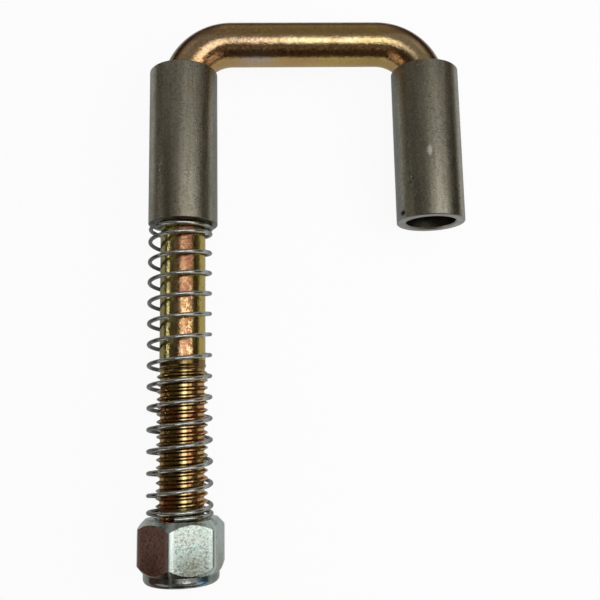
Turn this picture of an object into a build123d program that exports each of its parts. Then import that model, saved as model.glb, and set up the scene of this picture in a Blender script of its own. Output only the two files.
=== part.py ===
"""Spring-loaded gate pin: a bent round bar, two weld-on tubes, a return spring and a lock nut.

Frame: the origin is the middle of the guide tube, on its axis. +Y runs along the long leg
towards the handle bar, +X from the long leg to the short leg, and +Z is up as the part lies.
The pin is shown at rest, with its spring holding both bends down on the mouths of the tubes.
"""

import math
import os

from build123d import *

# Pin: round bar with two right-angle bends and a 5/8-11 UNC rolled thread on the long leg
thread_d = 15.875  # over the crests
thread_pitch = 25.4 / 11
pitch_depth_ratio = 0.6495  # a UNC thread's crest diameter less its pitch diameter, in pitches
leg_spacing = 80.9  # between the two leg axes
bend_r = 16.2  # centreline radius of both bends
thread_length = 65.2
thread_runout = 1.2  # cone from the shank to the crests
tip_chamfer = 1.3
leg_end_chamfer = 1.2
leg_end_recess = 10.0  # the short leg stops this far inside the catch tube's far mouth

# Guide tube and catch tube: two equal lengths of 7/8 in tube, countersunk where a bend enters
tube_wall = 3.048
tube_length = 52.0
tube_seat_chamfer = 2.0  # inside the mouth that a bend enters
tube_mouth_chamfer = 0.5  # inside the other mouth
tube_rim_break = 0.25  # outside both rims
crest_clearance = 0.13  # round the thread, which is passed through the guide tube
seat_clearance = 0.1  # between a bend and the tube mouth that stops it

# Return spring: round wire, right hand, closed ends
wire_d = 1.3
spring_length = 91.85  # from the guide tube to the nut
spring_turns = 15.38
closed_turns = 1.08  # at each end
closed_gap = 0.1  # between the wires of a closed end
pitch_blend_turns = 0.5  # over which the pitch opens out
spring_clearance = 1.0  # round the thread
spring_end_gap = 0.15
spring_start_angle = 45.0  # where the wire ends at the guide tube, from +X towards -Z
points_per_turn = 8

# Lock nut: hexagon with a turned collar that holds a nylon ring
nut_wall = 3.96  # from the thread's crests to a flat
nut_corner_r = 1.2
nut_hex_height = 15.6
nut_collar_height = 3.1  # beyond the hexagon
nut_turn = 21.0  # one flat faces this far from +Z towards +X
nut_face_margin = 0.75  # from the edge of the bearing face to a flat
nut_face_angle = 46.0  # slope of the cone that trims the corners at the bearing face
nut_collar_angle = 50.5  # slope of the cone that trims them at the collar
nut_mouth_chamfer = 0.6
nut_clearance = 0.05  # round the thread and round the nylon ring
tip_recess = 0.4  # the pin's tip stops this far inside the collar
insert_wall = 1.9
insert_height = 3.0
collar_wall = 1.6  # round the nylon ring
collar_lip = 0.9  # thickness of the edge that closes over the ring
collar_lip_cover = 1.1  # how far that edge covers the ring
collar_edge_r = 1.7

rod_d = thread_d - pitch_depth_ratio * thread_pitch
rod_r = rod_d / 2
crest_r = thread_d / 2
bore_r = crest_r + crest_clearance
tube_r = bore_r + tube_wall
tube_end = tube_length / 2

# The inside of a bend meets the foot of a mouth's chamfer this far above the bend's start
bend_inner_r = bend_r - rod_r
seat_rise = math.sqrt(bend_inner_r**2 - (bend_r - bore_r + seat_clearance) ** 2)
bar_y = tube_end - tube_seat_chamfer - seat_rise + bend_r

nut_face_y = -tube_end - spring_length
hex_end_y = nut_face_y - nut_hex_height
nut_end_y = hex_end_y - nut_collar_height
tip_y = nut_end_y + tip_recess
short_end_y = -tube_end + leg_end_recess


def across(y, x=0.0):
    """Plane square to the legs at y, centred x from the long leg, facing the open end."""
    return Plane(origin=(x, y, 0), x_dir=(1, 0, 0), z_dir=(0, -1, 0))


def circles(part):
    """Round edges of a part, in groups from the smallest radius to the largest."""
    return part.edges().filter_by(GeomType.CIRCLE).group_by(SortBy.RADIUS)


with BuildPart() as pin_rod:
    with BuildLine() as centreline:
        FilletPolyline(
            (0, tip_y),
            (0, bar_y),
            (leg_spacing, bar_y),
            (leg_spacing, short_end_y),
            radius=bend_r,
        )
    with BuildSketch(across(tip_y)):
        Circle(rod_r)
    sweep(path=centreline.wire())
    short_end = pin_rod.faces().filter_by(GeomType.PLANE).sort_by(Axis.X)[-1]
    chamfer(short_end.edges(), length=leg_end_chamfer)
    # Outer form of the thread, over its crests
    with BuildSketch(Plane.XY):
        with BuildLine():
            Polyline(
                (0, tip_y),
                (crest_r - tip_chamfer, tip_y),
                (crest_r, tip_y + tip_chamfer),
                (crest_r, tip_y + thread_length),
                (rod_r, tip_y + thread_length + thread_runout),
                (0, tip_y + thread_length + thread_runout),
                close=True,
            )
        make_face()
    revolve(axis=Axis.Y)

tubes = {}
for node, leg_x in (("guide_tube", 0.0), ("catch_tube", leg_spacing)):
    with BuildPart() as tube:
        with BuildSketch(across(tube_end, leg_x)):
            Circle(tube_r)
            Circle(bore_r, mode=Mode.SUBTRACT)
        extrude(amount=tube_length)
        mouths = circles(tube)[0].sort_by(Axis.Y)
        chamfer(mouths[-1], length=tube_seat_chamfer)
        chamfer(mouths[0], length=tube_mouth_chamfer)
        chamfer(circles(tube)[-1], length=tube_rim_break)
    tubes[node] = tube.part


closed_pitch = wire_d + closed_gap
wire_rise = spring_length - 2 * spring_end_gap - wire_d
extra_rise = wire_rise - closed_pitch * spring_turns
open_pitch = closed_pitch + extra_rise / (spring_turns - 2 * closed_turns)


def turns_opened(past):
    """Full-pitch turns after this many turns past the point where the pitch starts to open."""
    if past < pitch_blend_turns:
        return max(past, 0) ** 2 / (2 * pitch_blend_turns)
    return past - pitch_blend_turns / 2


def wire_height(turns):
    """Height of the wire's centre above its first end after this many turns."""
    opens = closed_turns - pitch_blend_turns / 2
    closes = spring_turns - closed_turns - pitch_blend_turns / 2
    open_turns = turns_opened(turns - opens) - turns_opened(turns - closes)
    return closed_pitch * turns + (open_pitch - closed_pitch) * open_turns


def wire_point(turns):
    """Centre of the wire, this many turns from its end at the guide tube."""
    angle = math.radians(spring_start_angle - 360 * turns)
    coil_r = crest_r + spring_clearance + wire_d / 2
    first_y = -tube_end - spring_end_gap - wire_d / 2
    return coil_r * math.cos(angle), first_y - wire_height(turns), -coil_r * math.sin(angle)


steps = round(spring_turns * points_per_turn)
with BuildPart() as spring:
    with BuildLine() as coil:
        Spline(*(wire_point(spring_turns * step / steps) for step in range(steps + 1)))
    with BuildSketch(Plane(origin=coil.wire() @ 0, z_dir=coil.wire() % 0)):
        Circle(wire_d / 2)
    sweep(path=coil.wire(), is_frenet=True)

nut_plane = across(nut_face_y)
flat_r = crest_r + nut_wall
corner_r = flat_r / math.cos(math.radians(30))
face_r = flat_r - nut_face_margin
insert_r = crest_r + insert_wall
pocket_r = insert_r + nut_clearance
collar_r = pocket_r + collar_wall
nut_bore_r = crest_r + nut_clearance
face_drop = (corner_r - face_r) * math.tan(math.radians(nut_face_angle))
collar_rise = (corner_r - collar_r) * math.tan(math.radians(nut_collar_angle))
pocket_end_y = nut_end_y + collar_lip
pocket_start_y = pocket_end_y + insert_height

with BuildPart() as lock_nut:
    with BuildSketch(nut_plane):
        RegularPolygon(flat_r, 6, major_radius=False, rotation=-nut_turn)
    extrude(amount=nut_hex_height)
    fillet(lock_nut.edges().filter_by(Axis.Y), radius=nut_corner_r)
    # Cones that trim the corners at both ends
    with BuildSketch(Plane.XY):
        with BuildLine():
            Polyline(
                (0, nut_face_y),
                (face_r, nut_face_y),
                (corner_r, nut_face_y - face_drop),
                (corner_r, hex_end_y + collar_rise),
                (collar_r, hex_end_y),
                (0, hex_end_y),
                close=True,
            )
        make_face()
    revolve(axis=Axis.Y, mode=Mode.INTERSECT)
    with BuildSketch(nut_plane.offset(nut_hex_height)):
        Circle(collar_r)
    extrude(amount=nut_collar_height)
    fillet(circles(lock_nut)[-1].sort_by(Axis.Y)[0], radius=collar_edge_r)
    # Bore, pocket for the nylon ring and the lip that holds it
    with BuildSketch(Plane.XY):
        with BuildLine():
            Polyline(
                (0, nut_face_y),
                (nut_bore_r + nut_mouth_chamfer, nut_face_y),
                (nut_bore_r, nut_face_y - nut_mouth_chamfer),
                (nut_bore_r, pocket_start_y),
                (pocket_r, pocket_start_y),
                (pocket_r, pocket_end_y),
                (insert_r - collar_lip_cover, pocket_end_y),
                (insert_r - collar_lip_cover, nut_end_y),
                (0, nut_end_y),
                close=True,
            )
        make_face()
    revolve(axis=Axis.Y, mode=Mode.SUBTRACT)

with BuildPart() as nylon_insert:
    with BuildSketch(across(pocket_start_y)):
        Circle(insert_r)
        Circle(nut_bore_r, mode=Mode.SUBTRACT)
    extrude(amount=insert_height)

nodes = {
    "pin_rod": pin_rod.part,
    **tubes,
    "spring": spring.part,
    "lock_nut": lock_nut.part,
    "nylon_insert": nylon_insert.part,
}
os.makedirs("parts", exist_ok=True)
for node, part in nodes.items():
    part.label = node
    export_step(part, f"parts/{node}.step")
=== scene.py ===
"""Looks of the spring-loaded gate pin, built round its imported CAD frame. Metres, in the row frame.

+Y runs along the long leg towards the handle bar, +X from the long leg to the short leg, +Z up.
"""

import math

import bmesh
import bpy
from mathutils import Matrix, Vector


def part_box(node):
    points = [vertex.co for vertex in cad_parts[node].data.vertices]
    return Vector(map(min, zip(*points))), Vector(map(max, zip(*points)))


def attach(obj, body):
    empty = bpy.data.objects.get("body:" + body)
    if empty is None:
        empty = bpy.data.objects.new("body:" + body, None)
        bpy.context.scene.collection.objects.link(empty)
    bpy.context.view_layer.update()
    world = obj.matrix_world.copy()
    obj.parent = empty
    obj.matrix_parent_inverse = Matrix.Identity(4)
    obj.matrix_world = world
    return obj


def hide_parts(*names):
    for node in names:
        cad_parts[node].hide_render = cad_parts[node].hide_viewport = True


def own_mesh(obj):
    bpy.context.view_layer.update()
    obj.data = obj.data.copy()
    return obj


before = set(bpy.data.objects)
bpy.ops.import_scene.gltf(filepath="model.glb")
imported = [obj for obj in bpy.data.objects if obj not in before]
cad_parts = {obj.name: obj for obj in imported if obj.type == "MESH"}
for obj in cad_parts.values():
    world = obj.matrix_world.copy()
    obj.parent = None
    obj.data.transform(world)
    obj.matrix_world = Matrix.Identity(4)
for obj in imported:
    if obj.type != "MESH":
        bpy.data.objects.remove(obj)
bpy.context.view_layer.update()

MM = 0.001
TAU = 2 * math.pi
X_AXIS, Y_AXIS = (1, 0, 0), (0, 1, 0)

# Sizes that the frame's boxes give
guide_low, guide_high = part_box("guide_tube")
catch_low, catch_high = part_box("catch_tube")
pin_low, pin_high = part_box("pin_rod")
nut_low, nut_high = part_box("lock_nut")
spring_low, spring_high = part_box("spring")
tube_r = guide_high.x
tube_end = guide_high.y
leg_spacing = (catch_low.x + catch_high.x) / 2
crest_r = pin_high.z
tip_y = pin_low.y

# Pin, with a 5/8-11 UNC rolled thread
thread_pitch = 25.4 / 11 * MM
shank_depth = 0.6495 / 2 * thread_pitch  # from the crests
root_depth = 0.485 * thread_pitch  # from the crests
thread_length = 66.4 * MM  # with its run-out
thread_fade = 5.6 * MM  # over which the thread dies away into the shank
tip_chamfer = 1.3 * MM
bend_r = 16.2 * MM
leg_end_recess = 10.0 * MM  # the short leg stops this far inside the catch tube's far mouth
leg_end_chamfer = 1.2 * MM
rod_r = crest_r - shank_depth
root_r = crest_r - root_depth
thread_top_y = tip_y + thread_length
bar_y = pin_high.y - rod_r
bend_y = bar_y - bend_r
short_end_y = -tube_end + leg_end_recess

# Lock nut
nut_wall = 3.96 * MM  # from the thread's crests to a flat
nut_turn = math.radians(21)  # one flat faces this far from +Z towards +X
flat_r = crest_r + nut_wall
hex_end_y = nut_low.y + 3.1 * MM  # where the collar starts

# Return spring
wire_d = 1.3 * MM
spring_turns = 15.38
closed_turns = 1.08  # at each end
closed_gap = 0.1 * MM  # between the wires of a closed end
pitch_blend_turns = 0.5  # over which the pitch opens out
spring_start_angle = 45.0  # where the wire ends at the guide tube, from +X towards -Z
# The spring lies off the pin's axis, within its play round the thread
spring_hang = -0.5 * MM  # along X, all the way
spring_bow = -0.46 * MM  # and this much more a third of the way to the nut


def new_mesh(name, verts, faces):
    mesh = bpy.data.meshes.new(name)
    mesh.from_pydata(verts, [], faces)
    mesh.update()
    piece = bpy.data.objects.new(name, mesh)
    bpy.context.scene.collection.objects.link(piece)
    return piece


def finish_mesh(piece, sharp_degrees=40):
    """Weld the mesh, turn its faces outwards and shade it smooth between its sharp edges."""
    weld_reach = 1e-6
    mesh = piece.data
    build = bmesh.new()
    build.from_mesh(mesh)
    bmesh.ops.remove_doubles(build, verts=build.verts, dist=weld_reach)
    bmesh.ops.recalc_face_normals(build, faces=build.faces)
    for face in build.faces:
        face.smooth = True
    build.to_mesh(mesh)
    build.free()
    mesh.set_sharp_from_angle(angle=math.radians(sharp_degrees))


# ---------------------------------------------------------------- pin

def thread_profile():
    """Knots (share of a pitch, radius) of one thread, from one crest's middle to the next."""
    crest_half, root_half = 0.07, 0.15
    soft = 0.035  # share of a pitch over which a corner is rounded
    edge_dip, corner_dip = 0.01 * MM, 0.11 * MM  # off the crest or root at a rounded corner
    return [
        (0.0, crest_r),
        (crest_half, crest_r - edge_dip),
        (crest_half + soft, crest_r - corner_dip),
        (0.5 - root_half - soft, root_r + corner_dip),
        (0.5 - root_half, root_r + edge_dip),
        (0.5, root_r),
        (0.5 + root_half, root_r + edge_dip),
        (0.5 + root_half + soft, root_r + corner_dip),
        (1 - crest_half - soft, crest_r - corner_dip),
        (1 - crest_half, crest_r - edge_dip),
    ]


PROFILE = thread_profile()


def profile_radius(phase):
    """Thread radius at a share of a pitch past a crest."""
    phase %= 1.0
    knots = PROFILE + [(1.0, crest_r)]
    (a, low), (b, high) = next(pair for pair in zip(knots, knots[1:]) if phase <= pair[1][0])
    return low + (high - low) * (phase - a) / (b - a)


def thread_radius(y, phase):
    """Radius of the threaded leg at y: the thread, its run-out and the chamfered tip."""
    fade = min(1.0, max(0.0, (thread_top_y - y) / thread_fade))
    fade = fade * fade * (3 - 2 * fade)
    radius = rod_r + (profile_radius(phase) - rod_r) * fade
    return min(radius, crest_r - tip_chamfer + (y - tip_y))


def pin_stations(shank_steps=5, bend_steps=28):
    """Rings from the thread's end to the short leg's: centre, outward direction and radius."""
    right, left = (1, 0), (-1, 0)
    for step in range(1, shank_steps):
        yield (0, thread_top_y + (bend_y - thread_top_y) * step / shank_steps), right, rod_r
    for side, centre_x in enumerate((bend_r, leg_spacing - bend_r)):
        for step in range(bend_steps + 1):
            turn = math.pi / 2 * (side + step / bend_steps)
            along, across = -math.cos(turn), math.sin(turn)
            centre = (centre_x + bend_r * along, bend_y + bend_r * across)
            yield centre, (-along, -across), rod_r
    for share in (0.3, 0.7):
        yield (leg_spacing, bend_y + (short_end_y - bend_y) * share), left, rod_r
    yield (leg_spacing, short_end_y + leg_end_chamfer), left, rod_r
    yield (leg_spacing, short_end_y), left, rod_r - leg_end_chamfer


def build_pin(columns=96):
    """The pin as one skin: helical thread, shank, two bends, bar and short leg."""
    verts, faces = [], []
    knots = len(PROFILE)
    turns = math.ceil((thread_top_y - tip_y) / thread_pitch) + 2
    rows = turns * knots
    angles = [TAU * j / columns for j in range(columns)]
    for row in range(rows):
        share, _ = PROFILE[row % knots]
        row_y = tip_y + (row // knots + share) * thread_pitch
        for j, angle in enumerate(angles):
            y = row_y - thread_pitch * j / columns
            clipped = min(thread_top_y, max(tip_y, y))
            phase = share + (clipped - y) / thread_pitch
            radius = thread_radius(clipped, phase)
            verts.append((radius * math.cos(angle), clipped, radius * math.sin(angle)))
    for row in range(rows - 1):
        for j in range(columns):
            if j + 1 < columns:
                right_low, right_high = row * columns + j + 1, (row + 1) * columns + j + 1
            else:  # The last column meets the first one a pitch lower
                right_low = max(row - knots, 0) * columns
                right_high = max(row + 1 - knots, 0) * columns
            faces.append((row * columns + j, right_low, right_high, (row + 1) * columns + j))
    # The tip, faintly dished
    inner, inner_r = len(verts), 0.5 * rod_r
    ring_y, middle_y = tip_y + 0.1 * MM, tip_y + 0.15 * MM
    verts += [(inner_r * math.cos(a), ring_y, inner_r * math.sin(a)) for a in angles]
    verts.append((0, middle_y, 0))
    for j in range(columns):
        k = (j + 1) % columns
        faces.append((j, inner + j, inner + k, k))
        faces.append((inner + j, len(verts) - 1, inner + k))
    # The rest of the path
    last = (rows - 1) * columns
    for (x, y), (out_x, out_y), radius in pin_stations():
        first = len(verts)
        for angle in angles:
            reach = radius * math.cos(angle)
            verts.append((x + reach * out_x, y + reach * out_y, radius * math.sin(angle)))
        for j in range(columns):
            k = (j + 1) % columns
            faces.append((last + j, last + k, first + k, first + j))
        last = first
    verts.append((leg_spacing, short_end_y, 0))
    for j in range(columns):
        faces.append((last + j, last + (j + 1) % columns, len(verts) - 1))
    piece = new_mesh("gate_pin_bar", verts, faces)
    finish_mesh(piece, sharp_degrees=42)
    return piece


# ---------------------------------------------------------------- spring

def turns_opened(past):
    """Full-pitch turns after this many turns past the point where the pitch starts to open."""
    if past < pitch_blend_turns:
        return max(past, 0) ** 2 / (2 * pitch_blend_turns)
    return past - pitch_blend_turns / 2


def wire_height(turns, rise):
    """Height of the wire's centre above its first end after this many turns."""
    closed_pitch = wire_d + closed_gap
    extra = (rise - closed_pitch * spring_turns) / (spring_turns - 2 * closed_turns)
    opens = closed_turns - pitch_blend_turns / 2
    closes = spring_turns - closed_turns - pitch_blend_turns / 2
    opened = turns_opened(turns - opens) - turns_opened(turns - closes)
    return closed_pitch * turns + extra * opened


def build_spring(sides=14, steps_per_turn=64):
    """Round wire coiled right-handed, with closed ends and square-cut tips."""
    rise = spring_high.y - spring_low.y - wire_d
    coil_r = (spring_high.x - spring_low.x) / 2 - wire_d / 2
    first_y = spring_high.y - wire_d / 2
    count = round(spring_turns * steps_per_turn)
    nudge = 1e-3  # turns, for the wire's direction

    def axis(turns):
        bow = math.sin(math.pi * min(1, max(0, turns / spring_turns)) ** 0.6)
        return Vector((spring_hang + spring_bow * bow, 0, 0))

    def centre(turns):
        angle = math.radians(spring_start_angle - 360 * turns)
        along = first_y - wire_height(turns, rise)
        return axis(turns) + Vector((coil_r * math.cos(angle), along, -coil_r * math.sin(angle)))

    verts, faces = [], []
    for step in range(count + 1):
        turns = spring_turns * step / count
        middle = centre(turns)
        tangent = (centre(turns + nudge) - centre(turns - nudge)).normalized()
        outward = middle - axis(turns)
        outward.y = 0
        outward = (outward - tangent * outward.dot(tangent)).normalized()
        side = tangent.cross(outward)
        for k in range(sides):
            angle = TAU * k / sides
            spoke = math.cos(angle) * outward + math.sin(angle) * side
            verts.append(middle + wire_d / 2 * spoke)
    for step in range(count):
        for k in range(sides):
            a, b = step * sides + k, step * sides + (k + 1) % sides
            faces.append((a, b, b + sides, a + sides))
    faces.append(tuple(range(sides)))
    faces.append(tuple(count * sides + k for k in range(sides)))
    piece = new_mesh("spring_wire_coil", verts, faces)
    finish_mesh(piece)
    return piece


# ---------------------------------------------------------------- shader nodes

class Nodes:
    """Short way to add and join shader nodes in one tree."""

    def __init__(self, tree):
        self.tree = tree
        tree.nodes.clear()

    def add(self, kind, **inputs):
        """A new node of this kind, with these inputs filled."""
        node = self.tree.nodes.new(kind)
        for key, value in inputs.items():
            self.put(node, key, value)
        return node

    def put(self, node, key, value):
        """Join another node's output to an input, or set the input to a plain value."""
        socket = node.inputs[key]
        if isinstance(value, bpy.types.NodeSocket):
            self.tree.links.new(value, socket)
        else:
            socket.default_value = value

    def put_all(self, node, *values):
        """Fill a node's inputs in order, from its first."""
        for position, value in enumerate(values):
            self.put(node, position, value)

    def math(self, operation, *values):
        node = self.tree.nodes.new("ShaderNodeMath")
        node.operation = operation
        self.put_all(node, *values)
        return node.outputs[0]

    def times(self, first, *others):
        for other in others:
            first = self.math("MULTIPLY", first, other)
        return first

    def minus(self, a, b):
        return self.math("SUBTRACT", a, b)

    def over(self, a, b):
        return self.math("DIVIDE", a, b)

    def most(self, a, b):
        return self.math("MAXIMUM", a, b)

    def length(self, a, b):
        """Distance from the origin of a point with these two coordinates."""
        square = self.math("ADD", self.math("POWER", a, 2.0), self.math("POWER", b, 2.0))
        return self.math("SQRT", square)

    def span(self, value, low, high, out_low=0.0, out_high=1.0):
        """Value mapped from low..high to out_low..out_high, smoothly and clamped."""
        node = self.tree.nodes.new("ShaderNodeMapRange")
        node.interpolation_type = "SMOOTHSTEP"
        self.put_all(node, value, low, high, out_low, out_high)
        return node.outputs[0]

    def band(self, value, low, high, soft):
        """One between low and high, fading out over soft on both sides."""
        rise = self.span(value, low - soft / 2, low + soft / 2)
        return self.times(rise, self.span(value, high + soft / 2, high - soft / 2))

    def mix(self, factor, a, b):
        """Colour a where the factor is zero, and b where it is one."""
        node = self.tree.nodes.new("ShaderNodeMix")
        node.data_type = "RGBA"
        self.put(node, 0, factor)
        self.put(node, 6, a)
        self.put(node, 7, b)
        return node.outputs[2]

    def fade(self, value, low, high, a, b):
        """Colour a up to the low value, and b from the high one."""
        return self.mix(self.span(value, low, high), a, b)

    def place(self, scale=(1, 1, 1), shift=(0, 0, 0)):
        """The piece's own coordinates, scaled and shifted."""
        where = self.add("ShaderNodeTexCoord").outputs["Object"]
        return self.add("ShaderNodeMapping", Vector=where, Scale=scale, Location=shift).outputs[0]

    def axes(self):
        """The piece's own X, Y and Z."""
        return self.add("ShaderNodeSeparateXYZ", Vector=self.place()).outputs

    def noise(self, scale, detail, rough, stretch=(1, 1, 1), shift=(0, 0, 0)):
        where = self.place(stretch, shift)
        inputs = {"Vector": where, "Scale": scale, "Detail": detail, "Roughness": rough}
        return self.add("ShaderNodeTexNoise", **inputs).outputs["Fac"]

    def spot(self, centre, size, edge=0.4):
        """One inside a ragged oval of this half size round a point, fading out at its edge."""
        scale = [1 / length for length in size]
        shift = [-place * share for place, share in zip(centre, scale)]
        where = self.add("ShaderNodeVectorMath", Vector=self.place(scale, shift))
        where.operation = "LENGTH"
        ragged = self.times(self.minus(self.noise(1500, 2.0, 0.6), 0.5), 1.6)
        return self.span(self.math("ADD", where.outputs["Value"], ragged), 1 + edge, 1 - edge)

    def bump(self, *layers):
        """Surface slope from (height, distance, strength) layers, each over the one before."""
        under = {}
        for height, distance, strength in layers:
            inputs = {"Height": height, "Distance": distance, "Strength": strength, **under}
            under = {"Normal": self.add("ShaderNodeBump", **inputs).outputs[0]}
        return under["Normal"]

    def surface(self, colour, roughness, normal, metallic=1.0):
        """Finish a material with these looks."""
        inputs = {"Base Color": colour, "Roughness": roughness, "Metallic": metallic}
        shader = self.add("ShaderNodeBsdfPrincipled", Normal=normal, **inputs)
        self.add("ShaderNodeOutputMaterial", Surface=shader.outputs[0])


def rgb(red, green, blue):
    """A colour as it looks on a screen, 0 to 255, turned into linear light."""
    def linear(value):
        value /= 255
        return value / 12.92 if value <= 0.04045 else ((value + 0.055) / 1.055) ** 2.4
    return (linear(red), linear(green), linear(blue), 1.0)


def grey(level, blue=None):
    """A neutral colour in linear light, with another blue where one is given."""
    return (level, level, level if blue is None else blue, 1)


def new_material(name):
    material = bpy.data.materials.new(name)
    material.use_nodes = True
    return material, Nodes(material.node_tree)


# ---------------------------------------------------------------- materials

def bar_colour(nodes, axes, patches):
    """Cream gold over the bar and bends, with painted reflection tones by side: browner and speckled
    low on the front, the browner tone as painted shade and the pale specks as painted glints among
    dark pits, other tones down the sides and over the back, and pinker towards the left to dim the
    highlight there.
    """
    drift = nodes.noise(70, 2.0, 0.5, (1, 0.7, 1), (0.3, 0.1, 0.2))
    specks = nodes.noise(1300, 4.0, 0.75, (0.8, 1, 1), (0.7, 0.3, 0.1))
    lift = nodes.math("ABSOLUTE", nodes.over(axes["Z"], rod_r))
    front = nodes.over(nodes.minus(bar_y, axes["Y"]), rod_r)
    gold = nodes.fade(patches, 0.4, 0.6, rgb(214, 186, 132), rgb(230, 208, 158))
    warm = nodes.fade(patches, 0.4, 0.6, rgb(202, 162, 124), rgb(206, 168, 140))
    # Pinker towards the left end: painted dimming of the highlight there
    near_left = nodes.span(axes["X"], 42 * MM, 22 * MM, 0.0, 0.6)
    top = nodes.mix(nodes.most(nodes.span(drift, 0.45, 0.65, 0.0, 0.5), near_left), gold, warm)
    # Painted shade: browner low on the front, below the highlight
    below = nodes.times(nodes.span(front, 0.2, 0.4), nodes.span(lift, 0.93, 0.84))
    brown = nodes.fade(drift, 0.35, 0.65, rgb(206, 162, 106), rgb(196, 144, 96))
    top = nodes.mix(below, top, brown)
    # Painted reflection tones down the sides and over the back
    side = nodes.fade(drift, 0.35, 0.65, rgb(208, 182, 108), rgb(200, 166, 114))
    colour = nodes.fade(lift, 0.42, 0.62, side, top)
    back = nodes.fade(patches, 0.42, 0.6, rgb(204, 176, 104), rgb(202, 162, 112))
    colour = nodes.fade(front, 0.08, -0.12, colour, back)
    grainy = nodes.most(below, nodes.span(axes["X"], 40 * MM, 22 * MM, 0.0, 0.45))
    grainy = nodes.times(grainy, nodes.span(lift, 0.56, 0.68))
    dark = nodes.times(grainy, nodes.span(specks, 0.5, 0.62, 0.0, 0.75))
    colour = nodes.mix(dark, colour, rgb(112, 84, 52))
    # Painted glints: pale specks among the dark pits
    light = nodes.times(grainy, nodes.span(specks, 0.43, 0.34, 0.0, 0.9))
    colour = nodes.mix(light, colour, rgb(255, 220, 176))
    # Painted shade: darker round the outsides of both bends, and down both legs where the tubes hide
    # them at rest
    past = nodes.math("ABSOLUTE", nodes.minus(axes["X"], leg_spacing / 2))
    past = nodes.minus(past, leg_spacing / 2 - bend_r)
    from_centre = nodes.length(past, nodes.minus(axes["Y"], bend_y))
    outer = nodes.span(from_centre, bend_r + 1 * MM, bend_r + 3.5 * MM)
    outer = nodes.times(outer, nodes.span(past, 2 * MM, 8 * MM, 0.0, 0.9))
    shaded = nodes.fade(patches, 0.42, 0.6, rgb(140, 115, 80), rgb(144, 104, 85))
    colour = nodes.mix(outer, colour, shaded)
    stain_size = (5.5 * MM, 2.5 * MM, 3 * MM)
    stain = nodes.spot((24.6 * MM, bar_y - 6.6 * MM, 2.8 * MM), stain_size, 0.7)
    return nodes.mix(nodes.times(stain, 0.8), colour, rgb(198, 178, 166))


def leg_colour(nodes, axes, patches):
    """Copper on top of the long leg, with a pale line to its left and olive down both sides, all
    painted light: the copper is the key light's painted glare, the pale line a painted highlight,
    the dark olive down the left painted shade and the brighter olive down the right a painted
    reflection.
    """
    flecks = nodes.noise(800, 3.0, 0.7, (1, 0.7, 1), (0.2, 0.6, 0.3))
    across = nodes.over(axes["X"], rod_r)
    # Painted glare along the top: cream where it is strongest, deeper copper past it
    copper = nodes.fade(across, 0.14, 0.34, rgb(198, 156, 112), rgb(152, 110, 70))
    copper = nodes.mix(nodes.span(patches, 0.5, 0.62, 0.0, 0.55), copper, rgb(172, 112, 100))
    lower = nodes.span(axes["Y"], -40 * MM, -58 * MM, 0.2, 0.9)
    flecked = nodes.times(nodes.span(flecks, 0.5, 0.6), lower)
    copper = nodes.mix(flecked, copper, rgb(228, 200, 150))
    # Painted highlight as a pale line left of the top, and painted shade in dark olive down the left
    # side
    left = nodes.fade(across, -0.95, -0.5, rgb(128, 118, 58), rgb(232, 218, 148))
    colour = nodes.fade(across, -0.38, -0.12, left, copper)
    # Painted reflection: brighter olive down the right side
    return nodes.fade(across, 0.48, 0.68, colour, rgb(204, 184, 104))


def yellow_zinc():
    """Yellow chromate over zinc, glossy and uneven."""
    material, nodes = new_material("yellow_zinc")
    axes = nodes.axes()
    patches = nodes.noise(140, 3.0, 0.6, (1, 0.7, 1))
    fine = nodes.noise(1100, 4.0, 0.65)
    pits = nodes.noise(2600, 3.0, 0.6, (1, 1, 1), (0.5, 0.2, 0.4))
    swells = nodes.noise(420, 2.0, 0.5)
    on_leg = nodes.span(axes["Y"], -24 * MM, -14 * MM, 1.0, 0.0)
    bar, leg = bar_colour(nodes, axes, patches), leg_colour(nodes, axes, patches)
    stained = nodes.times(nodes.span(fine, 0.52, 0.66), nodes.span(on_leg, 0, 1, 0.25, 0.5))
    colour = nodes.mix(stained, nodes.mix(on_leg, bar, leg), rgb(128, 88, 46))
    layers = (swells, 0.07 * MM, 1.0), (fine, 0.06 * MM, 1.0), (pits, 0.035 * MM, 1.0)
    nodes.surface(colour, nodes.span(fine, 0.35, 0.7, 0.07, 0.18), nodes.bump(*layers))
    return material


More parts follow.
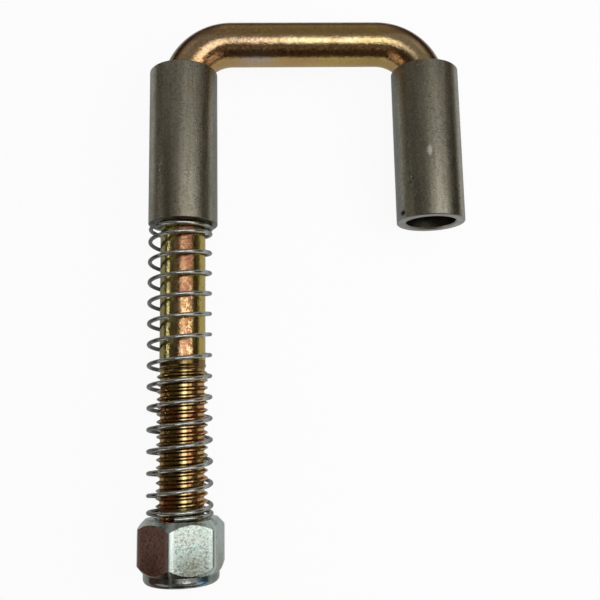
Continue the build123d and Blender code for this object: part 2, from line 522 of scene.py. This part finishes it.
def thread_zinc():
    """The same plate on the thread, with painted light: browner on its flanks as painted shade,
    browner down its sides and paler down the right as painted reflections, and a painted highlight
    along its top with painted shade beside it.
    """
    material, nodes = new_material("yellow_zinc_thread")
    axes = nodes.axes()
    patches = nodes.noise(120, 3.0, 0.6)
    fine = nodes.noise(1500, 3.0, 0.6)
    depth = nodes.minus(crest_r, nodes.length(axes["X"], axes["Z"]))
    share = nodes.over(depth, root_depth)
    flank = nodes.times(nodes.span(share, 0.04, 0.22), nodes.span(share, 0.96, 0.8))
    across = nodes.over(axes["X"], rod_r)
    side = nodes.fade(patches, 0.38, 0.62, rgb(174, 152, 98), rgb(188, 136, 90))
    near_shank = nodes.span(axes["Y"], thread_top_y - 16 * MM, thread_top_y - 2 * MM, 0.0, 0.75)
    side = nodes.mix(near_shank, side, rgb(190, 170, 98))
    # Painted reflection: paler down the right side
    paler = nodes.fade(patches, 0.38, 0.62, rgb(220, 194, 130), rgb(232, 172, 118))
    side = nodes.mix(nodes.span(across, 0.46, 0.62, 0.0, 0.9), side, paler)
    # Painted highlight: the key light's glare along the top
    top = nodes.fade(patches, 0.42, 0.62, rgb(244, 230, 164), rgb(236, 204, 146))
    colour = nodes.mix(nodes.band(across, 0.04, 0.34, 0.2), side, top)
    # Painted shade: browner on the flanks, in the thread's grooves
    colour = nodes.mix(nodes.times(flank, 0.7), colour, rgb(96, 66, 34))
    # Painted shade: dimmer to the left of the painted highlight, and in a line to the right of it
    dim_left = nodes.times(nodes.band(across, -0.04, 0.13, 0.12), 0.65)
    dim_right = nodes.times(nodes.band(across, 0.30, 0.40, 0.10), 0.55)
    colour = nodes.mix(nodes.most(dim_left, dim_right), colour, rgb(60, 42, 22))
    colour = nodes.mix(nodes.span(fine, 0.5, 0.72, 0.0, 0.5), colour, rgb(112, 76, 38))
    roughness = nodes.span(fine, 0.3, 0.7, 0.15, 0.28)
    nodes.surface(colour, roughness, nodes.bump((fine, 0.04 * MM, 1.0)))
    return material


def bare_tube(name, axis_x, end_dark, end_light, marks=()):
    """Bare drawn steel: dark and gritty, banded along its length, cooler grey down its sides as a
    painted reflection, with plain sawn ends and a bore darkened as painted shade.
    """
    material, nodes = new_material(name)
    axes = nodes.axes()
    streaks = nodes.noise(1300, 4.0, 0.7, (1, 0.05, 1))
    bands = nodes.noise(240, 2.0, 0.5, (1, 0.04, 1), (0.2, 0.4, 0.1))
    blotches = nodes.noise(160, 4.0, 0.65, (1, 0.5, 1))
    grit = nodes.noise(1600, 5.0, 0.75)
    scratches = nodes.noise(1500, 3.0, 0.6, (0.1, 1, 1))
    lift = nodes.math("ABSOLUTE", nodes.over(axes["Z"], tube_r))
    colour = nodes.fade(bands, 0.35, 0.65, rgb(160, 156, 138), rgb(186, 181, 162))
    colour = nodes.mix(nodes.span(blotches, 0.45, 0.68, 0.0, 0.5), colour, rgb(146, 132, 110))
    # Painted reflection: cooler grey down both sides
    colour = nodes.fade(lift, 0.6, 0.25, colour, rgb(134, 136, 132))
    colour = nodes.mix(nodes.span(streaks, 0.45, 0.7, 0.0, 0.35), colour, rgb(112, 109, 94))
    colour = nodes.mix(nodes.span(grit, 0.5, 0.62, 0.0, 0.6), colour, rgb(106, 101, 86))
    colour = nodes.mix(nodes.span(grit, 0.42, 0.34, 0.0, 0.7), colour, rgb(210, 205, 188))
    for centre, size, tone in marks:
        colour = nodes.mix(nodes.spot(centre, size), colour, tone)
    # Sawn ends, and a bore that darkens with its depth as painted shade
    reach = nodes.math("ABSOLUTE", axes["Y"])
    sawn = nodes.fade(scratches, 0.35, 0.65, end_dark, end_light)
    colour = nodes.fade(reach, tube_end - 0.3 * MM, tube_end - 0.1 * MM, colour, sawn)
    from_axis = nodes.length(nodes.minus(axes["X"], axis_x), axes["Z"])
    in_bore = nodes.span(from_axis, tube_r - 2.2 * MM, tube_r - 2.9 * MM)
    deep = nodes.span(reach, tube_end - 5 * MM, tube_end - 1 * MM, 0.8, 0.0)
    colour = nodes.mix(nodes.times(in_bore, deep), colour, rgb(92, 86, 74))
    normal = nodes.bump((streaks, 0.02 * MM, 1.0), (grit, 0.05 * MM, 1.0))
    nodes.surface(colour, nodes.span(blotches, 0.3, 0.7, 0.25, 0.36), normal)
    return material


def spring_steel():
    """Bright drawn wire with fine marks along it, duller round the back and down the left: painted
    light on its top and painted shade on the rest.
    """
    material, nodes = new_material("spring_wire")
    axes = nodes.axes()
    drawn = nodes.noise(600, 3.0, 0.6)
    fine = nodes.noise(2500, 2.0, 0.5)
    # Painted light on the coil's top, fading down the left and partly on the right; painted shade on
    # the rest
    from_left = nodes.span(axes["X"], -9.5 * MM, -4 * MM)
    to_right = nodes.span(axes["X"], 6 * MM, 10.5 * MM, 1.0, 0.3)
    bright = nodes.times(from_left, to_right, nodes.span(axes["Z"], 0, 5 * MM))
    shaded_tone = nodes.fade(drawn, 0.35, 0.7, rgb(94, 94, 90), rgb(124, 124, 118))
    lit_tone = nodes.fade(drawn, 0.35, 0.7, rgb(190, 192, 186), rgb(226, 228, 220))
    roughness = nodes.span(drawn, 0.3, 0.7, 0.16, 0.28)
    normal = nodes.bump((fine, 0.015 * MM, 0.8))
    nodes.surface(nodes.mix(bright, shaded_tone, lit_tone), roughness, normal)
    return material


def clear_zinc():
    """Clear zinc plate: pale, faintly mint, mottled but for each flat's edges, with painted light by
    place: shade towards the collar, highlights along the flats' edges, two glints on the collar and
    a dark reflection on the left.
    """
    material, nodes = new_material("clear_zinc")
    axes = nodes.axes()
    mottle = nodes.noise(1300, 5.0, 0.75)
    fine = nodes.noise(2300, 3.0, 0.65, (1, 1, 1), (0.4, 0.3, 0.2))
    drift = nodes.noise(160, 3.0, 0.55)
    # From minus one to one across each flat
    round_it = nodes.math("ARCTAN2", axes["X"], axes["Z"])
    turned = nodes.math("ADD", round_it, TAU / 12 - nut_turn)
    sixth = nodes.math("FLOORED_MODULO", turned, TAU / 6)
    side = nodes.over(nodes.minus(sixth, TAU / 12), TAU / 12)
    edge = nodes.math("ABSOLUTE", side)
    colour = nodes.fade(drift, 0.4, 0.62, rgb(184, 204, 198), rgb(190, 198, 188))
    # Painted shade: darker towards the collar, most in the middle of each flat
    down = nodes.span(axes["Y"], nut_high.y - 5 * MM, nut_low.y + 5 * MM)
    down = nodes.times(down, nodes.span(edge, 0.8, 0.2, 0.35, 1.0))
    colour = nodes.mix(nodes.times(down, 0.9), colour, rgb(142, 144, 130))
    dark = nodes.times(nodes.span(mottle, 0.49, 0.6), nodes.span(down, 0, 1, 0.7, 0.95))
    colour = nodes.mix(dark, colour, rgb(108, 110, 96))
    colour = nodes.mix(nodes.span(mottle, 0.42, 0.34, 0.0, 0.6), colour, rgb(222, 232, 226))
    # Painted highlight along each flat's edges, stronger towards one side
    on_edge = nodes.span(nodes.math("ADD", edge, nodes.times(mottle, 0.3)), 0.9, 1.0)
    on_edge = nodes.times(on_edge, nodes.span(side, -0.5, 0.5, 0.85, 0.4))
    colour = nodes.mix(on_edge, colour, rgb(218, 228, 223))
    # Plainer on the collar, with a painted highlight and a painted blue glint
    on_collar = nodes.span(axes["Y"], hex_end_y + 0.2 * MM, hex_end_y - 0.2 * MM, 0.0, 0.75)
    plain = nodes.fade(drift, 0.4, 0.62, rgb(132, 134, 128), rgb(150, 152, 144))
    colour = nodes.mix(on_collar, colour, plain)
    for x, rise, z, size, tone in (
        (2.9, 1.3, 9.0, (1.3, 1.0, 5.0), rgb(238, 240, 236)),
        (7.2, 1.9, 8.0, (1.6, 1.2, 5.0), rgb(150, 198, 228)),
    ):
        centre = (x * MM, nut_low.y + rise * MM, z * MM)
        painted_glint = nodes.spot(centre, [length * MM for length in size])
        colour = nodes.mix(nodes.times(painted_glint, 0.8), colour, tone)
    # Painted shade as a dark reflection: brown on the left, over the corner, the cone below the flat
    # and the collar's edge
    turn_off = nodes.math("COSINE", nodes.times(side, TAU / 12))
    flat_reach = nodes.times(nodes.length(axes["X"], axes["Z"]), turn_off)
    off_flat = nodes.span(flat_reach, flat_r - 0.02 * MM, flat_r - 0.10 * MM)
    on_left = nodes.span(axes["X"], -2.0 * MM, -2.4 * MM, 0.0, 0.9)
    lower = nodes.span(axes["Y"], nut_high.y - 3.0 * MM, nut_high.y - 4.5 * MM)
    above = nodes.span(axes["Y"], hex_end_y - 0.2 * MM, hex_end_y + 0.1 * MM)
    under = nodes.span(axes["Y"], nut_low.y + 1.2 * MM, nut_low.y + 0.8 * MM)
    brown = nodes.times(off_flat, on_left, lower, nodes.most(above, under))
    colour = nodes.mix(brown, colour, rgb(98, 70, 62))
    worn = nodes.span(edge, 0.9, 0.94, 0.0, 0.2)
    roughness = nodes.math("ADD", nodes.span(fine, 0.3, 0.7, 0.12, 0.22), worn)
    normal = nodes.bump((mottle, 0.03 * MM, 1.0), (fine, 0.012 * MM, 1.0))
    nodes.surface(colour, roughness, normal)
    return material


def nylon():
    """Natural nylon."""
    material, nodes = new_material("nylon")
    colour = nodes.mix(nodes.noise(300, 2.0, 0.5), rgb(224, 220, 200), rgb(206, 200, 176))
    normal = nodes.bump((nodes.noise(1800, 2.0, 0.5), 0.02 * MM, 0.5))
    nodes.surface(colour, 0.45, normal, metallic=0.0)
    return material


def dress(node, material):
    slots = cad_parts[node].data.materials
    slots.clear()
    slots.append(material)


# ---------------------------------------------------------------- pieces

pin = build_pin()
pin.data.materials.append(yellow_zinc())
pin.data.materials.append(thread_zinc())
for face in pin.data.polygons:
    if face.center.y < thread_top_y:
        face.material_index = 1
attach(pin, "pin")
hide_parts("pin_rod")

coil = build_spring()
coil.data.materials.append(spring_steel())
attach(coil, "spring")
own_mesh(coil)
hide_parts("spring")

# The guide tube's sawn ends are darker as painted shade, for the spring's end coil against its lower
# end
guide_ends = rgb(88, 86, 76), rgb(112, 110, 100)
catch_ends = rgb(145, 143, 138), rgb(169, 167, 162)
catch_marks = (  # a pit and a scuff: where, half size and tone
    ((71.0 * MM, -23.9 * MM, 5.0 * MM), (0.6 * MM, 0.8 * MM, 2.0 * MM), rgb(24, 20, 16)),
    ((79.3 * MM, -5.0 * MM, 11.0 * MM), (0.75 * MM, 1.6 * MM, 2.0 * MM), rgb(232, 227, 214)),
)
dress("guide_tube", bare_tube("bare_guide_tube", 0.0, *guide_ends))
dress("catch_tube", bare_tube("bare_catch_tube", leg_spacing, *catch_ends, catch_marks))
dress("lock_nut", clear_zinc())
dress("nylon_insert", nylon())


# ---------------------------------------------------------------- stage

def ray_kinds(nodes):
    """One for rays that the eye follows, and one for rays off glossy surfaces."""
    path = nodes.add("ShaderNodeLightPath").outputs
    return nodes.most(path["Is Camera Ray"], path["Is Transmission Ray"]), path["Is Glossy Ray"]


def floor_material():
    """Clear to the eye but for its shadows, glowing faintly in reflections, pale paper besides."""
    clearness, seen_glow, mirrored_glow = 0.93, 0.36, 0.3
    material, nodes = new_material("floor_paper")
    seen, mirrored = ray_kinds(nodes)
    pale = nodes.mix(mirrored, grey(0.5, 0.49), grey(0.35, 0.34))
    paper = nodes.add("ShaderNodeBsdfDiffuse", Color=nodes.mix(seen, pale, grey(0.93)))
    strength = nodes.most(nodes.times(seen, seen_glow), nodes.times(mirrored, mirrored_glow))
    glow = nodes.add("ShaderNodeEmission", Color=grey(1), Strength=strength)
    clear = nodes.add("ShaderNodeBsdfTransparent")
    sheet = nodes.add("ShaderNodeAddShader")
    nodes.put_all(sheet, paper.outputs[0], glow.outputs[0])
    both = nodes.add("ShaderNodeMixShader")
    nodes.put_all(both, nodes.times(seen, clearness), sheet.outputs[0], clear.outputs[0])
    nodes.add("ShaderNodeOutputMaterial", Surface=both.outputs[0])
    return material


def build_floor():
    """A small pale sheet just under the nut's lowest corner and the tubes' ends at the bar."""
    left, right, front, back = -0.09, 0.15, -0.24, 0.065
    gap = 0.02 * MM
    front_y, back_y = nut_high.y - 2.7 * MM, tube_end
    slope = (guide_low.z - nut_low.z) / (back_y - front_y)
    corners = []
    for x, y in ((left, front), (right, front), (right, back), (left, back)):
        corners.append((x, y, nut_low.z + slope * (y - front_y) - gap))
    floor = new_mesh("floor", corners, [(0, 1, 2, 3)])
    floor.data.materials.append(floor_material())


def add_area(name, location, target, along, size, strength, colour=(1, 1, 1)):
    """A soft panel of light whose width lies along the given axis."""
    data = bpy.data.lights.new(name, "AREA")
    data.shape = "RECTANGLE"
    data.size, data.size_y = size
    data.energy = strength * math.pi * size[0] * size[1]
    data.color = colour
    lamp = bpy.data.objects.new(name, data)
    bpy.context.scene.collection.objects.link(lamp)
    back = (Vector(location) - Vector(target)).normalized()
    right = (Vector(along) - back * back.dot(Vector(along))).normalized()
    turn = Matrix((right, back.cross(right), back)).transposed()
    lamp.matrix_world = Matrix.Translation(location) @ turn.to_4x4()
    lamp.visible_camera = False
    return lamp


def polar(distance, degrees):
    angle = math.radians(degrees)
    return distance * math.cos(angle), distance * math.sin(angle)


def build_lights():
    """A large softbox over the part, a strip and a red wall to its left, and fills round it."""
    middle, bar_middle = Vector((0.04, -0.05, 0)), Vector((0.04, 0, 0))
    under_key = Vector((leg_spacing / 2, -0.05, 0))
    rise, out = polar(1.5, 24)
    key = under_key + Vector((out, 0, rise))
    add_area("key_softbox", key, under_key, X_AXIS, (1.75, 0.77), 1.7)
    out, rise = polar(1.2, 17)
    add_area("left_strip", (-out, 0.12, rise), (0, 0.12, 0), Y_AXIS, (0.27, 0.07), 4.5)
    wall, red = (-1.2, -0.42, 0.13), (1, 0.22, 0.19)
    add_area("left_wall", wall, (0, -0.42, 0), Y_AXIS, (0.6, 0.26), 0.15, red)
    out, rise = polar(1.2, 54)
    front = middle + Vector((0, -out, rise))
    add_area("front_fill", front, middle, X_AXIS, (1.2, 0.45), 0.12)
    add_area("back_fill", (0.04, 1.06, 1.06), bar_middle, X_AXIS, (2.4, 2.1), 0.15)
    for side, x, slant in (("left", -0.85, -1), ("right", 0.95, 1)):
        add_area("front_" + side, (x, -0.9, 0.5), middle, (1, slant, 0), (0.9, 0.7), 0.6)
        add_area("back_" + side, (x, 0.9, 0.5), bar_middle, (1, -slant, 0), (0.9, 0.7), 0.2)
    add_area("back_low", (0.04, 1.3, 0.02), bar_middle, X_AXIS, (1.2, 0.6), 0.15)
    near, below = (0.30, -0.02, 0.22), (0.10, -0.01, -0.01)
    floor_fill = add_area("floor_fill", near, below, Y_AXIS, (0.3, 0.3), 1.3)
    floor_fill.visible_glossy = False


def build_world():
    """White to the eye past the floor, dim on the part and dark in its reflections."""
    world = bpy.data.worlds.new("studio")
    bpy.context.scene.world = world
    world.use_nodes = True
    nodes = Nodes(world.node_tree)
    seen, mirrored = ray_kinds(nodes)
    light = nodes.mix(mirrored, grey(0.14), (0.055, 0.047, 0.038, 1))
    light = nodes.mix(seen, light, grey(0.976))
    background = nodes.add("ShaderNodeBackground", Color=light, Strength=1.0)
    nodes.add("ShaderNodeOutputWorld", Surface=background.outputs[0])


def build_camera():
    """The photograph's place and angle: above the part, a little to the right of its spring."""
    data = bpy.data.cameras.new("camera")
    data.sensor_width = 36
    data.lens = 45.0
    data.clip_start, data.clip_end = 0.01, 20
    camera = bpy.data.objects.new("camera", data)
    bpy.context.scene.collection.objects.link(camera)
    camera.location = (0.02959, bar_y - 0.12478, 0.23770)
    camera.rotation_euler = [math.radians(a) for a in (8.944, -1.719, -1.110)]
    bpy.context.scene.camera = camera


build_floor()
build_lights()
build_world()
build_camera()
bpy.context.scene.view_settings.view_transform = "Standard"
